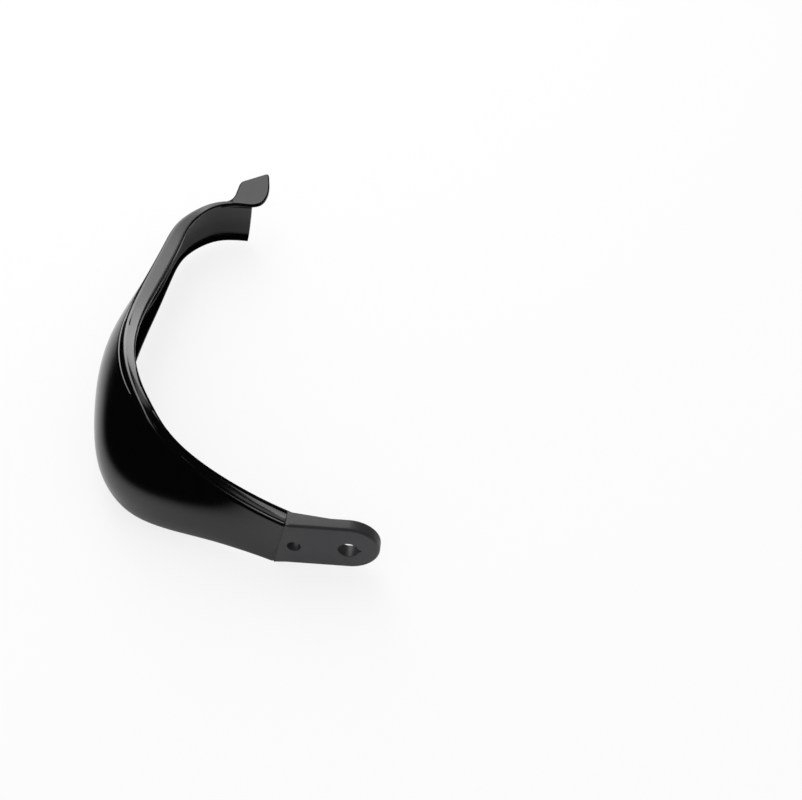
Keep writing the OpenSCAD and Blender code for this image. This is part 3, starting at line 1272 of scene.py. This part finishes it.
class HandGuard:
    """The whole moulding: channel, tab and ear joined into one skin."""

    SMOOTH_ANGLE = math.radians(32)

    def __init__(self, record: dict) -> None:
        """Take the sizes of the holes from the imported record.

        Args:
            record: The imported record.
        """
        mounts = {m["name"]: m for m in record["mounts"]}
        self.sizes = Sizes()
        self.material = MouldedBlack(self.sizes).make()
        self.tab = Tab(
            self.sizes,
            bar_hole_r=mounts["bar_end_bore"]["dims"]["r_mm"],
            screw_hole_r=mounts["screw_bore"]["dims"]["r_mm"],
            hole_gap=-mounts["screw_bore"]["pos_m"][0] / MM,
        )
        self.channel = Channel(self.sizes)
        self.ear = Ear(self.sizes)

    def build(self) -> bpy.types.Object:
        """Join the three forms and dress them.

        Returns:
            The guard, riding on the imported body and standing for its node.
        """
        body = self._object("guard_skin", self.channel.build(SmoothLoft(self.material)))
        for mesh in (self.tab.build(), self.ear.build()):
            self._fuse(body, mesh)
        body.data.materials.clear()
        body.data.materials.append(self.material)
        body.data.shade_smooth()
        body.data.set_sharp_from_angle(angle=self.SMOOTH_ANGLE)
        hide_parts("hand_guard")
        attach(body, "root")
        return body

    @staticmethod
    def _object(name: str, mesh: bpy.types.Mesh) -> bpy.types.Object:
        """A new object at the origin that shows the mesh.

        Args:
            name: The object's name.
            mesh: The mesh.

        Returns:
            The new object.
        """
        made = bpy.data.objects.new(name, mesh)
        bpy.context.scene.collection.objects.link(made)
        return made

    def _fuse(self, body: bpy.types.Object, mesh: bpy.types.Mesh) -> None:
        """Unite another mesh with the body.

        Args:
            body: The body.
            mesh: The other mesh.
        """
        other = self._object(mesh.name, mesh)
        union = body.modifiers.new("fuse", "BOOLEAN")
        union.operation = "UNION"
        union.solver = "EXACT"
        union.object = other
        fused = evaluated_mesh(body, body.name)
        body.modifiers.remove(union)
        body.data = fused
        bpy.data.objects.remove(other)


@dataclass(frozen=True)
class Camera:
    """Where the photograph was taken from, in metres and degrees."""

    place: tuple[float, float, float] = (0.0689, -0.4970, 0.6911)
    azimuth: float = 4.936
    elevation: float = 49.348
    lens: float = 75.83
    sensor: float = 36.0

    def make(self) -> None:
        """Make it the scene's camera."""
        data = bpy.data.cameras.new("camera")
        data.lens = self.lens
        data.sensor_width = self.sensor
        data.sensor_fit = "HORIZONTAL"
        made = bpy.data.objects.new("camera", data)
        made.location = self.place
        made.rotation_euler = (math.radians(90 - self.elevation), 0, math.radians(self.azimuth))
        bpy.context.scene.collection.objects.link(made)
        bpy.context.scene.camera = made


@dataclass(frozen=True)
class Panel:
    """A soft light: its middle, size, radiance and how far it is tipped up from lying overhead."""

    name: str
    place: tuple[float, float, float]
    size: tuple[float, float]
    radiance: float
    tip: float = 90.0

    def make(self) -> None:
        """Hang the light, facing down, or the camera's side where it is tipped up."""
        data = bpy.data.lights.new(self.name, "AREA")
        data.shape = "RECTANGLE"
        data.size, data.size_y = self.size
        data.energy = self.radiance * math.pi * data.size * data.size_y
        box = bpy.data.objects.new(self.name, data)
        box.location = self.place
        box.rotation_euler = (math.radians(self.tip), 0, math.pi)
        bpy.context.scene.collection.objects.link(box)


@dataclass(frozen=True)
class Studio:
    """Pale table in an even soft light, with soft panels round it and a dark room for reflections.

    room, backdrop and dark are the brightness of the room for the light, for the camera and for
    reflections. The camera sees the floor by white_share as the backdrop. Reflections see the table
    only near the guard: a black cloth fades in past the sides of one box, over table_fade metres.
    Inside another box, under the guard's hollow, the same sheet is painted shade of the guard on the
    table, which only reflections see. Both boxes have a middle and half sizes.
    """

    floor_half: float = 4.0
    floor_z: float = -0.0189
    floor_colour: tuple[float, float, float] = (0.86, 0.86, 0.87)
    floor_roughness: float = 0.9
    floor_gloss: float = 0.1
    cloth_lift: float = 0.0004
    room: float = 0.85
    backdrop: float = 0.97
    dark: float = 0.003
    white_share: float = 0.82
    table_middle: tuple[float, float, float] = (-0.0525, 0.30, 0.0)
    table_half: tuple[float, float, float] = (0.0925, 0.305, 10.0)
    table_fade: tuple[float, float] = (0.01, 0.125)
    # The hollow box places painted shade of the guard on the table, seen only in reflections.
    hollow_middle: tuple[float, float, float] = (-0.029, 0.112, 0.0)
    hollow_half: tuple[float, float, float] = (0.089, 0.097, 10.0)
    hollow_fade: float = 0.012
    panels: tuple[Panel, ...] = (
        Panel("window", (-0.415, 1.0, 0.80), (0.55, 1.60), 3.7),
        Panel("side_window", (0.06, 1.0, 0.85), (0.34, 0.60), 1.0),
        Panel("skylight", (-0.25, 0.62, 1.60), (0.56, 0.90), 3.0, tip=0.0),
    )

    def make(self) -> None:
        """Build the floor, the black cloth and its painted shade, the panels and the room."""
        self._floor()
        self._flag_and_painted_shade()
        for panel in self.panels:
            panel.make()
        self._world()
        bpy.context.scene.view_settings.view_transform = "Standard"

    def _sheet(self, name: str, z: float, material: bpy.types.Material) -> bpy.types.Object:
        """A wide level sheet at height z.

        Args:
            name: The sheet's name.
            z: Its height in metres.
            material: Its paint.

        Returns:
            The sheet.
        """
        h = self.floor_half
        mesh = bpy.data.meshes.new(name)
        mesh.from_pydata([(-h, -h, z), (h, -h, z), (h, h, z), (-h, h, z)], [], [(0, 1, 2, 3)])
        mesh.materials.append(material)
        sheet = bpy.data.objects.new(name, mesh)
        bpy.context.scene.collection.objects.link(sheet)
        return sheet

    def _floor(self) -> None:
        """A pale floor under the guard, which the camera sees mostly as the backdrop's plain white."""
        material, canvas, shader = new_paint("floor_paint")
        canvas.fill(shader, {
            "Base Color": (*self.floor_colour, 1),
            "Roughness": self.floor_roughness,
            "Specular IOR Level": self.floor_gloss,
        })
        seen = canvas.node("ShaderNodeLightPath", {}).outputs["Is Camera Ray"]
        white = canvas.node("ShaderNodeEmission", {"Strength": self.backdrop})
        mix = canvas.node("ShaderNodeMixShader", {
            0: canvas.calc("MULTIPLY", seen, self.white_share),
            1: shader.outputs["BSDF"],
            2: white.outputs["Emission"],
        })
        canvas.fill(canvas.tree.nodes["Material Output"], {"Surface": mix.outputs[0]})
        floor = self._sheet("floor", self.floor_z, material)

    def _flag_and_painted_shade(self) -> None:
        """The black cloth, which only reflections see, with painted shade under the guard's hollow."""
        material, canvas, shader = new_paint("flag_cloth")
        canvas.fill(shader, {
            "Base Color": (0, 0, 0, 1), "Specular IOR Level": 0, "Alpha": self._density(canvas)
        })
        flag = self._sheet("flag", self.floor_z + self.cloth_lift, material)
        flag.visible_camera = False
        flag.visible_diffuse = False
        flag.visible_shadow = False
        flag.visible_transmission = False

    def _density(self, canvas: NodeCanvas) -> Socket:
        """How dense the cloth is, from 0 on the bright part of the table to 1.

        Inside the hollow box it is painted shade of the guard, which only reflections see.

        Args:
            canvas: The cloth's tree.

        Returns:
            The density.
        """
        where = canvas.node("ShaderNodeTexCoord", {}).outputs["Object"]
        past = self._past_box(canvas, where, self.table_middle, self.table_half)
        past = canvas.vector("MAXIMUM", past, (0, 0, 0))
        away = canvas.node("ShaderNodeVectorMath", {0: past}, operation="LENGTH").outputs["Value"]
        hollow = self._past_box(canvas, where, self.hollow_middle, self.hollow_half)
        sides = canvas.node("ShaderNodeSeparateXYZ", {0: hollow}).outputs
        nearest = canvas.calc("MAXIMUM", sides["X"], sides["Y"])
        far = canvas.ramp(away, self.table_fade, curve="SMOOTHSTEP")
        # inner is the painted shade under the guard's hollow, black for reflections only.
        inner = canvas.ramp(nearest, (0.0, -self.hollow_fade), curve="SMOOTHSTEP")
        return canvas.calc("MAXIMUM", far, inner)

    @staticmethod
    def _past_box(
        canvas: NodeCanvas,
        where: Socket,
        middle: tuple[float, float, float],
        half: tuple[float, float, float],
    ) -> Socket:
        """How far a place lies past the sides of an upright box, axis by axis.

        Args:
            canvas: The material's tree.
            where: The place.
            middle: Middle of the box.
            half: Half of its size.

        Returns:
            The distances, which are negative inside the box.
        """
        offset = canvas.vector("ABSOLUTE", canvas.vector("SUBTRACT", where, middle))
        return canvas.vector("SUBTRACT", offset, half)

    def _world(self) -> None:
        """A pale room for the camera, a dark one for reflections, and an even light from all round."""
        world = bpy.data.worlds.new("room")
        bpy.context.scene.world = world
        world.use_nodes = True
        canvas = NodeCanvas(world.node_tree)
        path = canvas.node("ShaderNodeLightPath", {}).outputs
        level: object = self.room
        for ray, strength in (("Is Camera Ray", self.backdrop), ("Is Glossy Ray", self.dark)):
            mix = canvas.node("ShaderNodeMix", {"Factor": path[ray], "A": level, "B": strength})
            level = mix.outputs["Result"]
        canvas.fill(canvas.tree.nodes["Background"], {"Strength": level, "Color": (1, 1, 1, 1)})


def main() -> None:
    """Build the camera, the studio and the guard, and log the guard's counts of vertices and faces."""
    logging.basicConfig(level=logging.INFO, format="%(name)s: %(message)s")
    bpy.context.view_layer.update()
    Camera().make()
    Studio().make()
    guard = HandGuard(frame["record"]).build()
    LOG.info("%s: %d vertices, %d faces", guard.name, len(guard.data.vertices), len(guard.data.polygons))


if __name__ == "__main__":
    main()
